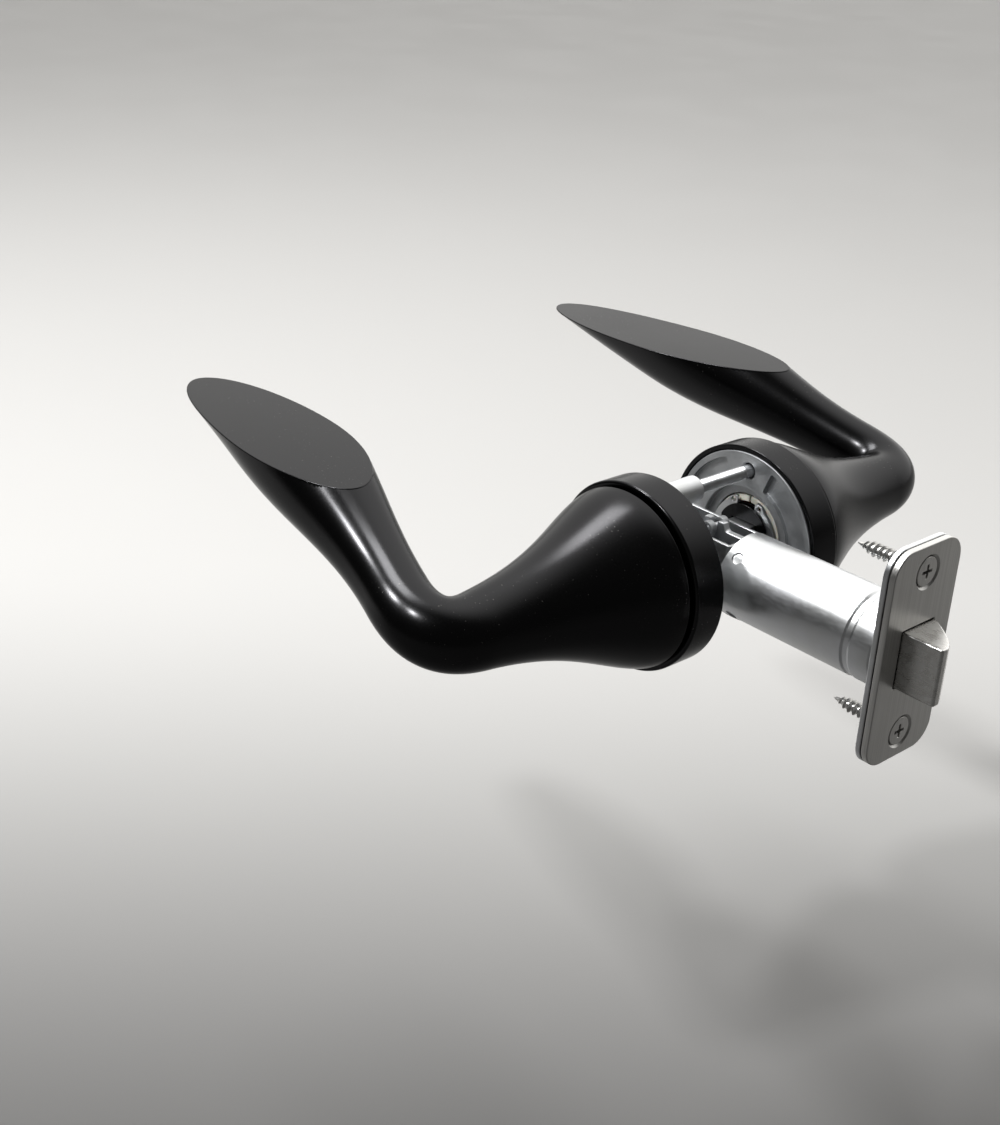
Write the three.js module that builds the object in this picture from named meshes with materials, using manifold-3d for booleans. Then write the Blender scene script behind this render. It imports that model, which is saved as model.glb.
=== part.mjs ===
// Passage lockset for a hinged door: a lever on a round rose on each face of the door, a square spindle
// through it, and a tubular latch in its edge. The door itself is left out.
// Units are millimetres. The origin is on the spindle axis at the outside face of the door.
// -Y points away from the outside face, +X towards the door's edge, +Z up.

import * as THREE from 'three';
import { mergeVertices } from 'three/addons/utils/BufferGeometryUtils.js';
import Module from 'manifold-3d';

const wasm = await Module();
wasm.setup();

// Driving dimensions
const DOOR_THICKNESS = 35;
const BACKSET = 70;
const GAP = 0.3;

const ROSE_RADIUS = 25.5;
const ROSE_DEPTH = 9.6;
const ROSE_WALL = 1.3;
const FIXING_SPACING = 38;
const PLATE_THICKNESS = 3;

const LEVER_RIM_RADIUS = 24.2;
const WAIST_RADIUS = 8.3;
const BELL_LENGTH = 26.7;
const BELL_POWER = 1.42;
const GRIP_SWELL = 7.2;
const SWELL_START = 66.5;
const SWELL_END = 150.5;
const LEVER_GAP = 1;
const ELBOW_REACH = 73.5;
const BEND_LENGTH = 18;
const BEND_START = 58.5;
const GRIP_RETURN = THREE.MathUtils.degToRad(13);
const GRIP_RISE = THREE.MathUtils.degToRad(16.2);
const GRIP_SWEEP = 0.00078;
const GRIP_LENGTH = 150;
const FACET_HEIGHT = 23.9;

const SPINDLE_SIZE = 8;
const SPINDLE_DEPTH = 28;
const SHANK_RADIUS = 8.9;
const SHANK_FLAT = 7.9;

const LATCH_Y = DOOR_THICKNESS / 2;
const CASE_RADIUS = 11.4;
const CASE_WALL = 0.8;
const BOLT_WIDTH = 12;
const BOLT_HEIGHT = 15;
const BOLT_THROW = 11;
const PLATE_HEIGHT = 57;
const PLATE_WIDTH = 25.4;
const ARM_RADIUS = 11;
const ARM_REST_ANGLE = THREE.MathUtils.degToRad(30);
const TAIL_LOW = 6.9;

// Finishes
const finish = (color, roughness, metalness) => new THREE.MeshStandardMaterial({ color, roughness, metalness });
const BLACK = finish(0x17171a, 0.42, 0.3);
const ZINC = finish(0x9a9ea0, 0.5, 0.9);
const STEEL = finish(0xb4b6b8, 0.35, 1);
const BRASS = finish(0xb8a05c, 0.35, 1);
const NYLON = finish(0xe6e3d8, 0.55, 0);

// ---- Solid helpers ----

// A geometry with shared corners, no collapsed triangles, and its faces pointing out.
function welded(source) {
  const bare = source.clone();
  bare.deleteAttribute('normal');
  bare.deleteAttribute('uv');
  const merged = mergeVertices(bare, 1e-4);
  const index = merged.index.array;
  const position = merged.attributes.position;
  const kept = [];
  let volume = 0;
  const [a, b, c] = [new THREE.Vector3(), new THREE.Vector3(), new THREE.Vector3()];
  for (let i = 0; i < index.length; i += 3) {
    const corners = [index[i], index[i + 1], index[i + 2]];
    if (new Set(corners).size < 3) continue;
    kept.push(...corners);
    [a, b, c].forEach((v, k) => v.fromBufferAttribute(position, corners[k]));
    volume += a.dot(b.cross(c));
  }
  if (volume < 0) {
    for (let i = 0; i < kept.length; i += 3) {
      [kept[i], kept[i + 1]] = [kept[i + 1], kept[i]];
    }
  }
  merged.setIndex(kept);
  return merged;
}

function toSolid(geometry) {
  const clean = welded(geometry);
  return new wasm.Manifold(new wasm.Mesh({
    numProp: 3,
    vertProperties: new Float32Array(clean.attributes.position.array),
    triVerts: new Uint32Array(clean.index.array),
  }));
}

function toGeometry(solid) {
  const mesh = solid.getMesh();
  const geometry = new THREE.BufferGeometry();
  geometry.setAttribute('position', new THREE.BufferAttribute(new Float32Array(mesh.vertProperties), 3));
  geometry.setIndex(new THREE.BufferAttribute(new Uint32Array(mesh.triVerts), 1));
  return geometry;
}

function cut(body, ...tools) {
  return toGeometry(tools.reduce((solid, tool) => solid.subtract(toSolid(tool)), toSolid(body)));
}

function join(...bodies) {
  return toGeometry(bodies.map(toSolid).reduce((sum, solid) => sum.add(solid)));
}

function common(body, tool) {
  return toGeometry(toSolid(body).intersect(toSolid(tool)));
}

// ---- Shape helpers ----

// A turned shape round the Y axis, from [radius, distance out from the door face] pairs. Out is -Y.
function turned(profile, segments = 40) {
  return new THREE.LatheGeometry(profile.map(([r, out]) => new THREE.Vector2(r, -out)), segments);
}

// A turned ring: its profile closes on itself.
function turnedRing(profile, segments = 40) {
  return turned([...profile, profile[0]], segments);
}

function tube(outer, inner, from, to, segments = 40) {
  return turnedRing([[inner, from], [outer, from], [outer, to], [inner, to]], segments);
}

function rod(radius, from, to, segments = 20) {
  return turned([[0, from], [radius, from], [radius, to], [0, to]], segments);
}

// Turns a shape made along -Y so that it runs along +X.
function alongX(geometry) {
  return geometry.clone().rotateZ(Math.PI / 2);
}

// Turns a shape made along -Y so that it runs down along -Z.
function downwards(geometry) {
  return geometry.clone().rotateX(Math.PI / 2);
}

function block(lowX, highX, lowY, highY, lowZ, highZ) {
  const geometry = new THREE.BoxGeometry(highX - lowX, highY - lowY, highZ - lowZ);
  return geometry.translate((lowX + highX) / 2, (lowY + highY) / 2, (lowZ + highZ) / 2);
}

// A flat outline in X and Z, given a thickness between two Y values.
function plateXZ(shape, lowY, highY, curveSegments = 8) {
  const settings = { depth: highY - lowY, bevelEnabled: false, curveSegments };
  return new THREE.ExtrudeGeometry(shape, settings).rotateX(Math.PI / 2).translate(0, highY, 0);
}

// A round wire along a curve. The last value is the number of steps.
function wire(curve, radius, steps, sides = 8) {
  const section = new THREE.Shape().absarc(0, 0, radius, 0, 2 * Math.PI);
  const settings = { steps, curveSegments: sides / 2, extrudePath: curve, bevelEnabled: false };
  return new THREE.ExtrudeGeometry(section, settings);
}

function node(name, geometry, material, x = 0, y = 0, z = 0) {
  const mesh = new THREE.Mesh(welded(geometry), material);
  mesh.name = name;
  mesh.position.set(x, y, z);
  return mesh;
}

// ---- Lever ----

// The lever's centre line: straight out from the rose, a tight bend, then the grip, which rises and leans
// back towards the door a little, and straightens along its length.
class GripLine extends THREE.Curve {
  constructor(start, direction) {
    super();
    this.start = start;
    this.direction = direction;
    this.side = new THREE.Vector3(0, 0, 1).cross(direction).normalize();
  }

  getPoint(t, target = new THREE.Vector3()) {
    const along = t * GRIP_LENGTH;
    target.copy(this.start).addScaledVector(this.direction, along);
    return target.addScaledVector(this.side, GRIP_SWEEP * along * along);
  }
}

function leverLine() {
  const direction = new THREE.Vector3(
    -Math.cos(GRIP_RETURN) * Math.cos(GRIP_RISE),
    Math.sin(GRIP_RETURN) * Math.cos(GRIP_RISE),
    Math.sin(GRIP_RISE),
  );
  const base = new THREE.Vector3(0, -ROSE_DEPTH - LEVER_GAP, 0);
  const bendFrom = new THREE.Vector3(0, -BEND_START, 0);
  const corner = new THREE.Vector3(0, -ELBOW_REACH, 0);
  const bendTo = corner.clone().addScaledVector(direction, BEND_LENGTH);
  return [
    { curve: new THREE.LineCurve3(base, bendFrom), steps: 12 },
    { curve: new THREE.QuadraticBezierCurve3(bendFrom, corner, bendTo), steps: 9 },
    { curve: new GripLine(bendTo, direction), steps: 16 },
  ];
}

// The lever's radius that far along its centre line from the rim: a bell, a waist, then the grip's swell.
function leverRadius(distance) {
  const bell = Math.exp(-((distance / BELL_LENGTH) ** BELL_POWER));
  const swell = THREE.MathUtils.smootherstep(distance, SWELL_START, SWELL_END);
  return WAIST_RADIUS + (LEVER_RIM_RADIUS - WAIST_RADIUS) * bell + GRIP_SWELL * swell;
}

// The lever's skin before its end is cut: round sections along the centre line, closed at both ends.
function leverHorn(sides = 28) {
  const places = [];
  for (const { curve, steps } of leverLine()) {
    for (let i = places.length ? 1 : 0; i <= steps; i += 1) {
      places.push({ point: curve.getPoint(i / steps), tangent: curve.getTangent(i / steps) });
    }
  }
  const travelled = [0];
  for (let i = 1; i < places.length; i += 1) {
    travelled.push(travelled[i - 1] + places[i].point.distanceTo(places[i - 1].point));
  }
  const corners = [];
  const up = new THREE.Vector3();
  const across = new THREE.Vector3();
  places.forEach(({ point, tangent }, ring) => {
    up.set(0, 0, 1).addScaledVector(tangent, -tangent.z).normalize();
    across.crossVectors(tangent, up);
    const radius = leverRadius(travelled[ring]);
    for (let side = 0; side < sides; side += 1) {
      const angle = (2 * Math.PI * side) / sides;
      const corner = point.clone().addScaledVector(up, radius * Math.sin(angle));
      corners.push(corner.addScaledVector(across, radius * Math.cos(angle)));
    }
  });
  corners.push(places[0].point, places[places.length - 1].point);
  const faces = [];
  const last = places.length - 1;
  for (let side = 0; side < sides; side += 1) {
    const next = (side + 1) % sides;
    for (let ring = 0; ring < last; ring += 1) {
      const [a, b] = [ring * sides + side, ring * sides + next];
      faces.push(a, b, a + sides, b, b + sides, a + sides);
    }
    faces.push(next, side, corners.length - 2);
    faces.push(last * sides + side, last * sides + next, corners.length - 1);
  }
  const geometry = new THREE.BufferGeometry().setFromPoints(corners);
  geometry.setIndex(faces);
  return geometry;
}

const GRUB_OUT = 17;
const GRUB_RADIUS = 2.5;

// The shank turns in the base plate's bush. It has two flats for the driver and a groove for the circlip.
function leverShank() {
  const base = ROSE_DEPTH + LEVER_GAP;
  const groove = SHANK_RADIUS - 1;
  const round = turned([
    [0, 0.3], [SHANK_RADIUS, 0.3], [SHANK_RADIUS, 0.6], [groove, 0.6], [groove, 1.9],
    [SHANK_RADIUS, 1.9], [SHANK_RADIUS, base + 2], [0, base + 2],
  ], 32);
  const flats = [-1, 1].map((side) => {
    const [near, far] = [side * SHANK_FLAT, side * (SHANK_RADIUS + 1)];
    return block(Math.min(near, far), Math.max(near, far), -base + 2.4, 0, -10, 10);
  });
  return cut(round, ...flats);
}

function leverBody() {
  const facetCut = block(-260, -LEVER_RIM_RADIUS, -160, 60, FACET_HEIGHT, 120);
  const clipped = cut(leverHorn(), facetCut);
  const half = SPINDLE_SIZE / 2 + GAP;
  const socket = block(-half, half, -SPINDLE_DEPTH - 1, 1, -half, half);
  const screwHole = downwards(rod(GRUB_RADIUS + GAP, 0, 40, 16)).translate(0, -GRUB_OUT, 0);
  return cut(join(clipped, leverShank()), socket, screwHole);
}

// ---- Rose and sprung base plate, in the rose's own frame: door face at y = 0, out is -Y ----

function roseCover() {
  const edge = 0.8;
  const outer = [];
  for (let i = 0; i <= 3; i += 1) {
    const angle = (i / 3) * (Math.PI / 2);
    outer.push([
      ROSE_RADIUS - edge + edge * Math.cos(angle),
      ROSE_DEPTH - edge + edge * Math.sin(angle),
    ]);
  }
  const inner = ROSE_RADIUS - ROSE_WALL;
  const hole = SHANK_RADIUS + 0.7;
  return turnedRing([
    [inner, 0], [ROSE_RADIUS, 0], ...outer,
    [hole, ROSE_DEPTH], [hole, ROSE_DEPTH - ROSE_WALL], [inner, ROSE_DEPTH - ROSE_WALL],
  ], 48);
}

const BOSS_RADIUS = 13.2;
const BOSS_TOP = 5.4;
const BEARING_RADIUS = 11.6;
const PEG_RADIUS = 18.2;

// Where the driver's finger and the two stop pegs stand round the spindle, in degrees from +X towards +Z.
const FINGER_ANGLE = 150;
const FINGER_SWING = 60;
const PEG_CLEARANCE = 9.8;

function aroundSpindle(geometry, radius, degrees) {
  const angle = THREE.MathUtils.degToRad(degrees);
  return geometry.clone().translate(radius, 0, 0).rotateY(-angle);
}

function basePlate(fixingHole, sink) {
  const plate = turnedRing([
    [BEARING_RADIUS, 2], [14, 2], [14, 0], [ROSE_RADIUS - ROSE_WALL - GAP, 0],
    [ROSE_RADIUS - ROSE_WALL - GAP, PLATE_THICKNESS], [BOSS_RADIUS, PLATE_THICKNESS],
    [BOSS_RADIUS, BOSS_TOP], [BEARING_RADIUS, BOSS_TOP],
  ]);
  const peg = rod(1.2, 1.5, 5, 12);
  const ends = [FINGER_ANGLE - PEG_CLEARANCE, FINGER_ANGLE + FINGER_SWING + PEG_CLEARANCE];
  const pegs = ends.map((degrees) => aroundSpindle(peg, PEG_RADIUS, degrees));
  const holes = [-1, 1].flatMap((side) => {
    const z = (side * FIXING_SPACING) / 2;
    const drilled = rod(fixingHole, -1, PLATE_THICKNESS + 1, 16).translate(0, 0, z);
    const countersink = turned([[0, 1], [fixingHole, 1], [sink, 3.1], [0, 3.1]], 16).translate(0, 0, z);
    return sink > fixingHole ? [drilled, countersink] : [drilled];
  });
  return cut(join(plate, ...pegs), ...holes);
}

function bush() {
  const inner = SHANK_RADIUS + GAP;
  const outer = BEARING_RADIUS - GAP;
  return turnedRing([
    [inner, 2.3], [outer, 2.3], [outer, BOSS_TOP + GAP], [BOSS_RADIUS, BOSS_TOP + GAP],
    [BOSS_RADIUS, 6.4], [inner, 6.4],
  ], 32);
}

// The driver is keyed on the shank's flats. Its finger reaches down past the spring to push one of its legs.
function driver() {
  const disc = rod(16.2, 6.8, 7.9, 36);
  const tab = block(14, PEG_RADIUS + 1, -7.9, -6.8, -1.6, 1.6);
  const finger = block(PEG_RADIUS - 0.9, PEG_RADIUS + 1, -7.9, -3.4, -1.6, 1.6);
  const turnedTab = [tab, finger].map((shape) => aroundSpindle(shape, 0, FINGER_ANGLE));
  const flat = SHANK_FLAT + GAP;
  const bore = common(rod(SHANK_RADIUS + GAP, 6, 9, 32), block(-flat, flat, -10, 0, -12, 12));
  return cut(join(disc, ...turnedTab), bore);
}

// A torsion spring of just over one turn. One leg is held by the rest peg and the finger pushes the other.
class TorsionCoil extends THREE.Curve {
  constructor(radius, bottom, top, from, to, leg) {
    super();
    Object.assign(this, { radius, bottom, top, from, to, leg });
  }

  getPoint(t, target = new THREE.Vector3()) {
    const legShare = 0.06;
    const turn = THREE.MathUtils.clamp((t - legShare) / (1 - 2 * legShare), 0, 1);
    const outside = Math.max(legShare - t, t - 1 + legShare, 0) / legShare;
    const angle = THREE.MathUtils.degToRad(THREE.MathUtils.lerp(this.from, this.to, turn));
    const r = this.radius + this.leg * outside;
    const out = THREE.MathUtils.lerp(this.bottom, this.top, turn);
    return target.set(r * Math.cos(angle), -out, r * Math.sin(angle));
  }
}

function returnSpring() {
  const heldLeg = FINGER_ANGLE - PEG_CLEARANCE - 6.5;
  const pushedLeg = FINGER_ANGLE + 8;
  const coil = new TorsionCoil(15, 4, 6, heldLeg, pushedLeg + 360, 3.9);
  return wire(coil, 0.55, 48, 6);
}

function circlip() {
  const ring = tube(11.4, SHANK_RADIUS - 0.7, 0.8, 1.7, 28);
  return cut(ring, block(-3, 3, -3, 1, 6, 13));
}

function grubScrew() {
  const from = SPINDLE_SIZE / 2 + GAP;
  const to = from + 8;
  const key = new THREE.CylinderGeometry(1.45, 1.45, 6, 6).translate(0, -to, 0);
  return downwards(cut(rod(GRUB_RADIUS, from, to, 16), key));
}

// ---- Fixings through the door ----

const POST_REACH = 14;

function threadedPost() {
  const neck = rod(2.5, -0.8, 2.7, 16);
  const barrel = rod(3.6, -POST_REACH, -GAP, 16);
  const bore = rod(2.1, -POST_REACH - 1, -2, 16);
  return cut(join(neck, barrel), bore);
}

// A cross-slot recess at the outer end of a screw made along -Y.
function crossSlot(end, depth, size) {
  const wide = block(-size, size, -end - 1, -end + depth, -0.45, 0.45);
  const high = block(-0.45, 0.45, -end - 1, -end + depth, -size, size);
  return [wide, high];
}

function throughBolt() {
  const top = 2.8;
  const reach = DOOR_THICKNESS - POST_REACH + 8;
  const body = turned([[0, -reach], [1.5, -reach], [1.8, -reach + 0.6], [1.8, 1], [3.6, top], [0, top]], 16);
  return cut(body, ...crossSlot(top, 1.2, 1.9));
}

// ---- Latch, in the latch's own frame: along +X, with the spindle axis at x = 0 ----

const FACE_THICKNESS = 1.8;
const BACK_THICKNESS = 1.4;
const LATCH_SCREW_Z = 21.5;

function plateOutline(cornerRadius) {
  const [halfY, halfZ] = [PLATE_WIDTH / 2, PLATE_HEIGHT / 2];
  const r = cornerRadius;
  const outline = new THREE.Shape();
  outline.moveTo(-halfY + r, -halfZ);
  outline.lineTo(halfY - r, -halfZ).absarc(halfY - r, -halfZ + r, r, -Math.PI / 2, 0);
  outline.lineTo(halfY, halfZ - r).absarc(halfY - r, halfZ - r, r, 0, Math.PI / 2);
  outline.lineTo(-halfY + r, halfZ).absarc(-halfY + r, halfZ - r, r, Math.PI / 2, Math.PI);
  outline.lineTo(-halfY, -halfZ + r).absarc(-halfY + r, -halfZ + r, r, Math.PI, 1.5 * Math.PI);
  return outline;
}

// A plate across the X axis, from its outline in Y and Z.
function plateAcross(outline, thickness, lowX) {
  const flat = new THREE.ExtrudeGeometry(outline, { depth: thickness, bevelEnabled: false, curveSegments: 5 });
  return flat.rotateX(Math.PI / 2).rotateZ(Math.PI / 2).translate(lowX, 0, 0);
}

function boltOpening(lowX, highX) {
  const [halfY, halfZ] = [BOLT_WIDTH / 2 + GAP, BOLT_HEIGHT / 2 + GAP];
  return block(lowX, highX, -halfY, halfY, -halfZ, halfZ);
}

function faceplate() {
  const low = BACKSET - FACE_THICKNESS;
  const plate = plateAcross(plateOutline(6.3), FACE_THICKNESS, low);
  const sinks = [-1, 1].map((side) => {
    const [top, narrow, wide] = [BACKSET + 0.1, 2.9, 4.6];
    const cone = turned([[0, low - 1], [narrow, low - 1], [narrow, low], [wide, top], [0, top]], 16);
    return alongX(cone).translate(0, 0, side * LATCH_SCREW_Z);
  });
  return cut(plate, boltOpening(low - 1, BACKSET + 1), ...sinks);
}

const BACK_LOW = BACKSET - FACE_THICKNESS - GAP - BACK_THICKNESS;

function backplate() {
  const plate = plateAcross(plateOutline(6.3), BACK_THICKNESS, BACK_LOW);
  const holes = [-1, 1].map((side) => {
    return alongX(rod(2.4, BACK_LOW - 1, BACKSET, 16)).translate(0, 0, side * LATCH_SCREW_Z);
  });
  return cut(plate, boltOpening(BACK_LOW - 1, BACKSET), ...holes);
}

function latchScrew() {
  const head = BACKSET - 0.15;
  const body = turned([
    [0, head - 20], [1.5, head - 15], [1.9, head - 13], [1.9, head - 2.2], [3.9, head - 0.2],
    [3.9, head], [0, head],
  ], 16);
  return alongX(cut(body, ...crossSlot(head, 1.3, 2)));
}

const CASE_FROM = 17;

function latchCase() {
  const to = BACK_LOW - GAP;
  const inner = CASE_RADIUS - CASE_WALL;
  const shell = alongX(turned([
    [0, to - 1.2], [inner, to - 1.2], [inner, CASE_FROM], [CASE_RADIUS, CASE_FROM],
    [CASE_RADIUS, to], [0, to],
  ], 36));
  return cut(shell, boltOpening(to - 3, to + 1));
}

const FRAME_HALF_WIDTH = 6.6;
const FRAME_HEIGHT = 9.2;
const HUB_RADIUS = 6.6;

// The frame is a stamped box, open above and below, that holds the follower and carries the tail.
function latchFrame() {
  const outer = block(-13.5, CASE_FROM - GAP, -FRAME_HALF_WIDTH, FRAME_HALF_WIDTH, -FRAME_HEIGHT, FRAME_HEIGHT);
  const side = FRAME_HALF_WIDTH - 1;
  const hollow = block(-12.5, CASE_FROM - 1.5, -side, side, -20, 20);
  const bearing = rod(HUB_RADIUS + GAP, -10, 10, 28);
  const tailSlot = block(10, 20, -1.5, 1.5, TAIL_LOW - 0.5, 20);
  return cut(outer, hollow, bearing, tailSlot);
}

function springStop() {
  const disc = alongX(rod(CASE_RADIUS - CASE_WALL - GAP, CASE_FROM + 0.6, CASE_FROM + 1.8, 32));
  return cut(disc, block(10, 25, -1.5, 1.5, TAIL_LOW - 0.5, 20));
}

const PISTON_FROM = 44;
const PISTON_LENGTH = 6;

// The bolt is a guided piston with a square nose. One side of the nose slopes back to the face.
function latchBolt() {
  const pistonTo = PISTON_FROM + PISTON_LENGTH;
  const nose = BACKSET + BOLT_THROW;
  const piston = alongX(rod(CASE_RADIUS - CASE_WALL - 0.4, PISTON_FROM, pistonTo, 32));
  const slope = new THREE.Shape();
  slope.moveTo(pistonTo - 0.5, -BOLT_WIDTH / 2);
  slope.lineTo(nose, -BOLT_WIDTH / 2);
  slope.lineTo(nose, -BOLT_WIDTH / 2 + 2);
  slope.quadraticCurveTo(nose - 1, 0, nose - BOLT_THROW + 1, BOLT_WIDTH / 2);
  slope.lineTo(pistonTo - 0.5, BOLT_WIDTH / 2);
  const settings = { depth: BOLT_HEIGHT, bevelEnabled: false, curveSegments: 6 };
  const head = new THREE.ExtrudeGeometry(slope, settings).translate(0, 0, -BOLT_HEIGHT / 2);
  return cut(join(piston, head), block(PISTON_FROM - 1, pistonTo, -1.3, 1.3, TAIL_LOW - GAP, 20));
}

// The tail is a strap over the spring, with an open notch for the follower's pin at one end.
function latchTail() {
  const pinX = ARM_RADIUS * Math.sin(ARM_REST_ANGLE);
  const [notch, tine, strapTop] = [1.3, 3.4, 9.5];
  const outline = new THREE.Shape();
  outline.moveTo(pinX - tine, TAIL_LOW);
  outline.lineTo(PISTON_FROM + PISTON_LENGTH - GAP, TAIL_LOW);
  outline.lineTo(PISTON_FROM + PISTON_LENGTH - GAP, strapTop);
  outline.lineTo(pinX + tine + 1, strapTop);
  outline.lineTo(pinX + tine, 11.6);
  outline.lineTo(pinX + notch, 11.6);
  outline.lineTo(pinX + notch, 8.2);
  outline.lineTo(pinX - notch, 8.2);
  outline.lineTo(pinX - notch, 11.6);
  outline.lineTo(pinX - tine, 11.6);
  return plateXZ(outline, -1, 1);
}

const PIN_RADIUS = 0.9;

// The follower is a hub with a square hole. Two arms hold the pin that draws the tail back.
function latchFollower() {
  const hub = rod(HUB_RADIUS, -6.9, 6.9, 28);
  const armOutline = new THREE.Shape();
  armOutline.moveTo(-3, 0).lineTo(-2, ARM_RADIUS);
  armOutline.absarc(0, ARM_RADIUS, 2, Math.PI, 0, true);
  armOutline.lineTo(3, 0);
  const arms = [-1, 1].map((side) => {
    const [near, far] = [side * 1.5, side * 3.5];
    return plateXZ(armOutline, Math.min(near, far), Math.max(near, far)).rotateY(ARM_REST_ANGLE);
  });
  const half = SPINDLE_SIZE / 2 + GAP;
  const square = block(-half, half, -10, 10, -half, half);
  const pinHole = rod(PIN_RADIUS + GAP, -5, 5, 12).translate(0, 0, ARM_RADIUS).rotateY(ARM_REST_ANGLE);
  const tailRoom = block(-12, 12, -1.4, 1.4, HUB_RADIUS - 0.2, 20).rotateY(ARM_REST_ANGLE);
  return cut(join(hub, ...arms), square, pinHole, tailRoom);
}

function followerPin() {
  return rod(PIN_RADIUS, -3.4, 3.4, 12).translate(0, 0, ARM_RADIUS).rotateY(ARM_REST_ANGLE);
}

// A compression spring along X.
class Helix extends THREE.Curve {
  constructor(radius, from, to, turns) {
    super();
    Object.assign(this, { radius, from, to, turns });
  }

  getPoint(t, target = new THREE.Vector3()) {
    const angle = 2 * Math.PI * this.turns * t;
    const along = THREE.MathUtils.lerp(this.from, this.to, t);
    return target.set(along, this.radius * Math.cos(angle), this.radius * Math.sin(angle));
  }
}

function latchSpring() {
  const wireRadius = 0.5;
  const from = CASE_FROM + 1.8 + GAP + wireRadius;
  return wire(new Helix(5.2, from, PISTON_FROM - GAP - wireRadius, 8), wireRadius, 96, 6);
}

// ---- Assembly ----

// The two sides are a left and a right hand, so that both grips point away from the door's edge and both
// springs wind as the grips go down. handed keeps a shape or mirrors it.
function sprungRose(side, handed, plate) {
  const group = new THREE.Group();
  group.add(
    node(`${side}_lever`, handed(leverBody()), BLACK),
    node(`${side}_rose`, roseCover(), BLACK),
    node(`${side}_base_plate`, handed(plate), ZINC),
    node(`${side}_bush`, bush(), NYLON),
    node(`${side}_driver`, handed(driver()), STEEL),
    node(`${side}_return_spring`, handed(returnSpring()), STEEL),
    node(`${side}_circlip`, circlip(), STEEL),
    node(`${side}_grub_screw`, grubScrew(), STEEL, 0, -GRUB_OUT, 0),
  );
  return group;
}

const asMade = (geometry) => geometry;
const mirrored = (geometry) => geometry.clone().scale(-1, 1, 1);
const outside = sprungRose('outside', asMade, basePlate(2.8, 0));
const inside = sprungRose('inside', mirrored, basePlate(2.2, 4.1));
inside.position.y = DOOR_THICKNESS;
inside.rotation.z = Math.PI;

const fixingZ = FIXING_SPACING / 2;
outside.add(
  node('outside_upper_post', threadedPost(), STEEL, 0, 0, fixingZ),
  node('outside_lower_post', threadedPost(), STEEL, 0, 0, -fixingZ),
);
inside.add(
  node('upper_bolt', throughBolt(), STEEL, 0, 0, fixingZ),
  node('lower_bolt', throughBolt(), STEEL, 0, 0, -fixingZ),
);

const latch = new THREE.Group();
latch.position.y = LATCH_Y;
latch.add(
  node('latch_faceplate', faceplate(), STEEL),
  node('latch_backplate', backplate(), STEEL),
  node('latch_upper_screw', latchScrew(), STEEL, 0, 0, LATCH_SCREW_Z),
  node('latch_lower_screw', latchScrew(), STEEL, 0, 0, -LATCH_SCREW_Z),
  node('latch_case', latchCase(), STEEL),
  node('latch_frame', latchFrame(), STEEL),
  node('latch_spring_stop', springStop(), STEEL),
  node('latch_spring', latchSpring(), STEEL),
  node('latch_bolt', latchBolt(), BRASS),
  node('latch_tail', latchTail(), STEEL),
  node('latch_follower', latchFollower(), BRASS),
  node('latch_follower_pin', followerPin(), STEEL),
);

const spindleReach = SPINDLE_DEPTH * 2 + DOOR_THICKNESS;
const spindle = node('spindle', new THREE.BoxGeometry(SPINDLE_SIZE, spindleReach, SPINDLE_SIZE), STEEL);
spindle.position.y = LATCH_Y;

const lockset = new THREE.Group();
lockset.add(outside, inside, latch, spindle);

export default lockset;
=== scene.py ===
import math

import bmesh
import bpy
import numpy as np
from mathutils import Matrix, Vector


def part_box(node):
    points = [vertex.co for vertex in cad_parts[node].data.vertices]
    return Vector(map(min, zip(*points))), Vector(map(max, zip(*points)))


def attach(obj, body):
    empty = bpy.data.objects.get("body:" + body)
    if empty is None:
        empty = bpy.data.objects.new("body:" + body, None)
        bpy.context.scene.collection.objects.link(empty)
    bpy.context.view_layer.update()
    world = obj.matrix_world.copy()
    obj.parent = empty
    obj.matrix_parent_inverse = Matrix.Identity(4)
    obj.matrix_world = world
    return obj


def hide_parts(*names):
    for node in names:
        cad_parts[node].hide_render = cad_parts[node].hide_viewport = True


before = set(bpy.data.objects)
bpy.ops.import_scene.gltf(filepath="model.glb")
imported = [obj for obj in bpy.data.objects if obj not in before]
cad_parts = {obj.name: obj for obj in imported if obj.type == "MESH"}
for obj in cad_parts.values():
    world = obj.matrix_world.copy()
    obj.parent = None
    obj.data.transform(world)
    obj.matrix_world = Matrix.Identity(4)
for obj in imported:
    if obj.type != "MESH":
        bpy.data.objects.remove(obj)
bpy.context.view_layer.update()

# ---- Camera, floor and light ----
# The set is seen from above and from the latch side, as it is on a closed door. It hangs over a floor with
# painted shade, dark under and in front of it and pale into the distance, under three soft lamps and a
# surround that glows behind the door.

MM = 0.001
scene = bpy.context.scene


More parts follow.
